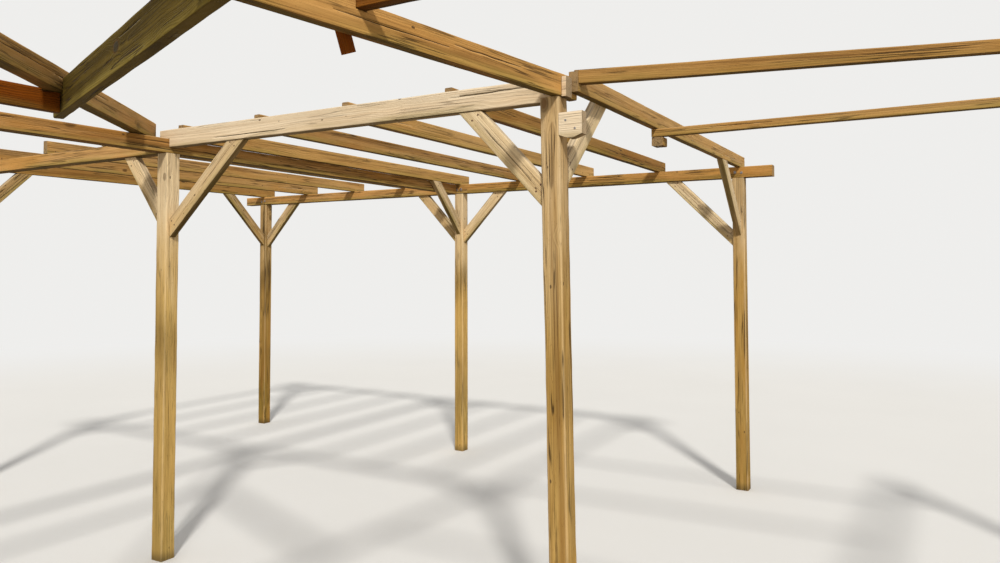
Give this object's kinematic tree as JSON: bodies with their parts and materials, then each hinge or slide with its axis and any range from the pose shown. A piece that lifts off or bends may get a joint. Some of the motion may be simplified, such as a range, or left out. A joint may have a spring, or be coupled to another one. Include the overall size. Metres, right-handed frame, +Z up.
{
  "type": "timber pergola",
  "caption": "Weathered timber pergola of square posts, knee braces, beams and open rafters, with an open bay in front and battens to a side frame.",
  "frame": {"origin": "middle of the whole part's footprint, on the ground under the posts", "axes": "+X along the back beam towards the side frame, +Y from the open bay to the back row of posts, +Z up"},
  "size_m": [7.7952, 6.3206, 2.508],
  "materials": {
    "post_timber": "weathered softwood, matt",
    "beam_timber": "weathered softwood, matt",
    "rafter_timber": "weathered softwood, matt",
    "pale_timber": "weathered softwood, matt",
    "mossy_timber": "weathered softwood, matt",
    "red_timber": "weathered softwood, matt"
  },
  "bodies": {
    "root": {"back_left_post": "post_timber", "back_middle_post": "post_timber", "back_right_post": "post_timber", "front_left_post": "post_timber", "front_middle_post": "post_timber", "front_right_post": "post_timber", "near_left_post": "post_timber", "near_right_post": "post_timber", "side_front_post": "post_timber", "side_back_post": "post_timber", "open_bay_beam": "beam_timber", "near_batten": "red_timber", "brace_stub": "red_timber", "back_beam_left": "beam_timber", "back_beam_right": "beam_timber", "middle_beam": "beam_timber", "front_beam_left": "beam_timber", "front_beam_right": "pale_timber", "near_beam": "beam_timber", "side_beam": "beam_timber", "rafter_1": "rafter_timber", "rafter_2": "rafter_timber", "rafter_3": "rafter_timber", "rafter_4": "rafter_timber", "rafter_5": "rafter_timber", "rafter_6": "rafter_timber", "rafter_7": "rafter_timber", "rafter_8": "rafter_timber", "rafter_9": "rafter_timber", "diagonal_beam": "beam_timber", "deep_beam": "mossy_timber", "return_beam": "red_timber", "front_batten": "rafter_timber", "middle_batten": "rafter_timber", "batten_cleat": "rafter_timber", "post_block": "pale_timber", "back_left_braces": "post_timber", "back_middle_braces": "post_timber", "back_right_braces": "post_timber", "front_left_braces": "post_timber", "front_middle_braces": "post_timber", "near_left_braces": "post_timber", "near_right_braces": "post_timber", "side_front_braces": "post_timber", "side_back_braces": "post_timber", "front_right_braces": "post_timber"}
  },
  "joints": []
}
